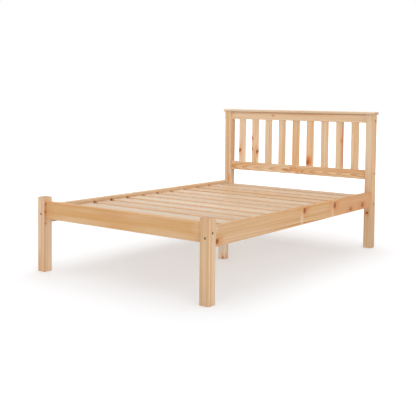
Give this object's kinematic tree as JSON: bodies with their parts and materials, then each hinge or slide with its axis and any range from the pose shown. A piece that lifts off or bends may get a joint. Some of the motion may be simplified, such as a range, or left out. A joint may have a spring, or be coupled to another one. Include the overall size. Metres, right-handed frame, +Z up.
{
  "type": "slatted bed frame",
  "caption": "Solid pine bed frame with square posts, a low plain foot end, a slatted headboard under a thin cap board, and a deck of wide cross slats with a centre leg.",
  "frame": {"origin": "on the floor, under the middle of the whole outline", "axes": "+X across the bed to the right as seen from the foot end, +Y from the foot end to the headboard, +Z up"},
  "size_m": [1.318, 2.044, 0.984],
  "materials": {
    "frame_pine": "planed pine, clear satin lacquer",
    "slat_pine": "planed pine, unfinished",
    "dowel_wood": "turned hardwood",
    "zinc_steel": "yellow zinc plate, dulled"
  },
  "bodies": {
    "root": {"barrel_nuts": "zinc_steel", "bed_slat_01": "slat_pine", "bed_slat_02": "slat_pine", "bed_slat_03": "slat_pine", "bed_slat_04": "slat_pine", "bed_slat_05": "slat_pine", "bed_slat_06": "slat_pine", "bed_slat_07": "slat_pine", "bed_slat_08": "slat_pine", "bed_slat_09": "slat_pine", "bed_slat_10": "slat_pine", "bed_slat_11": "slat_pine", "bed_slat_12": "slat_pine", "cap_dowels": "dowel_wood", "centre_leg": "slat_pine", "centre_rail": "slat_pine", "centre_rail_block_foot": "slat_pine", "centre_rail_block_head": "slat_pine", "foot_post_left": "frame_pine", "foot_post_right": "frame_pine", "foot_rail": "frame_pine", "frame_bolts": "zinc_steel", "frame_dowels": "dowel_wood", "frame_screws": "zinc_steel", "head_post_left": "frame_pine", "head_post_right": "frame_pine", "headboard_cap": "frame_pine", "headboard_cross_rail": "frame_pine", "headboard_low_rail": "frame_pine", "headboard_slat_1": "frame_pine", "headboard_slat_2": "frame_pine", "headboard_slat_3": "frame_pine", "headboard_slat_4": "frame_pine", "headboard_slat_5": "frame_pine", "headboard_slat_6": "frame_pine", "headboard_slat_7": "frame_pine", "headboard_slat_8": "frame_pine", "headboard_slat_9": "frame_pine", "headboard_top_rail": "frame_pine", "side_rail_left": "frame_pine", "side_rail_right": "frame_pine", "slat_ledger_left": "slat_pine", "slat_ledger_right": "slat_pine", "slat_screws": "zinc_steel"}
  },
  "joints": []
}
